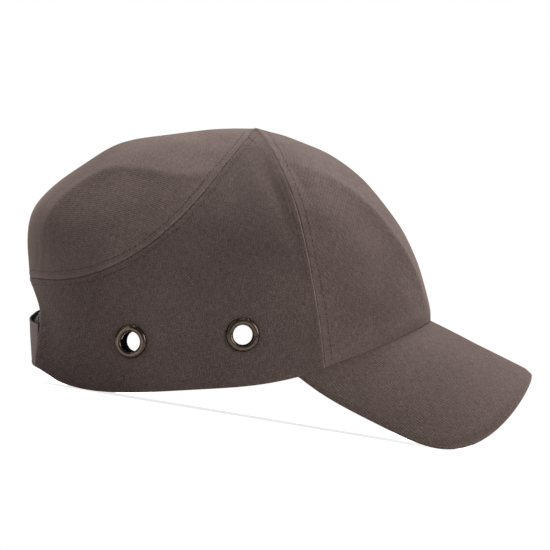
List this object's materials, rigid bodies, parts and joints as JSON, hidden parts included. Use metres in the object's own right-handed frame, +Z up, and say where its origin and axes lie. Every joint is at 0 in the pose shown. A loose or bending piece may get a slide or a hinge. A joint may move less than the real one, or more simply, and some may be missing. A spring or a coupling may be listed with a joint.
{
  "type": "bump cap",
  "caption": "Baseball-style bump cap: cotton twill cover with eyelet vents over a hard inner shell, curved peak and a hook-and-loop strap at the back.",
  "frame": {"origin": "under the middle of the cap's outline, on the surface it stands on", "axes": "+X to the front along the peak, +Y to the wearer's left, +Z up. The cap stands as on a table, on the two low sides of its peak and the back of its bottom edge, which turns it about 12.6 degrees nose-up from the plane of its bottom edge"},
  "size_m": [0.2797, 0.1736, 0.1519],
  "materials": {
    "twill": "cotton twill, matt, fine diagonal weave",
    "tape": "plain woven binding tape",
    "band": "soft towelling over thin foam",
    "foam": "closed-cell EVA foam, matt",
    "shell": "moulded ABS, fine grain",
    "board": "stiff polyethylene board",
    "eyelet": "dark bronze, semi-gloss",
    "washer": "dark bronze, satin",
    "fastener_tape": "black hook-and-loop",
    "label": "woven satin, blank"
  },
  "bodies": {
    "cap": {"front_panel": "twill", "right_side_panel": "twill", "left_side_panel": "twill", "rear_crown_panel": "twill", "rear_seam_tape": "tape", "right_front_seam_tape": "tape", "left_front_seam_tape": "tape", "crown_tape": "tape", "arch_facing": "tape", "hard_shell": "shell", "crown_pad": "foam", "front_pad": "foam", "rear_pad": "foam", "right_side_pad": "foam", "left_side_pad": "foam", "sweatband": "band", "size_label": "label", "peak_top_cloth": "twill", "peak_board": "board", "peak_under_cloth": "twill", "right_front_eyelet": "eyelet", "right_rear_eyelet": "eyelet", "left_front_eyelet": "eyelet", "left_rear_eyelet": "eyelet", "right_front_eyelet_washer": "washer", "right_rear_eyelet_washer": "washer", "left_front_eyelet_washer": "washer", "left_rear_eyelet_washer": "washer", "right_tab": "twill", "loop_tape": "fastener_tape", "strap_root": "twill"},
    "strap_tail": {"strap": "twill", "hook_tape": "fastener_tape"}
  },
  "joints": [
    {"name": "strap_peel", "type": "hinge", "parent": "cap", "child": "strap_tail", "pos_m": [-0.12539, 0.03011, 0.02353], "axis": [0.2178, 0, -0.976], "range_deg": [0, 90]}
  ]
}
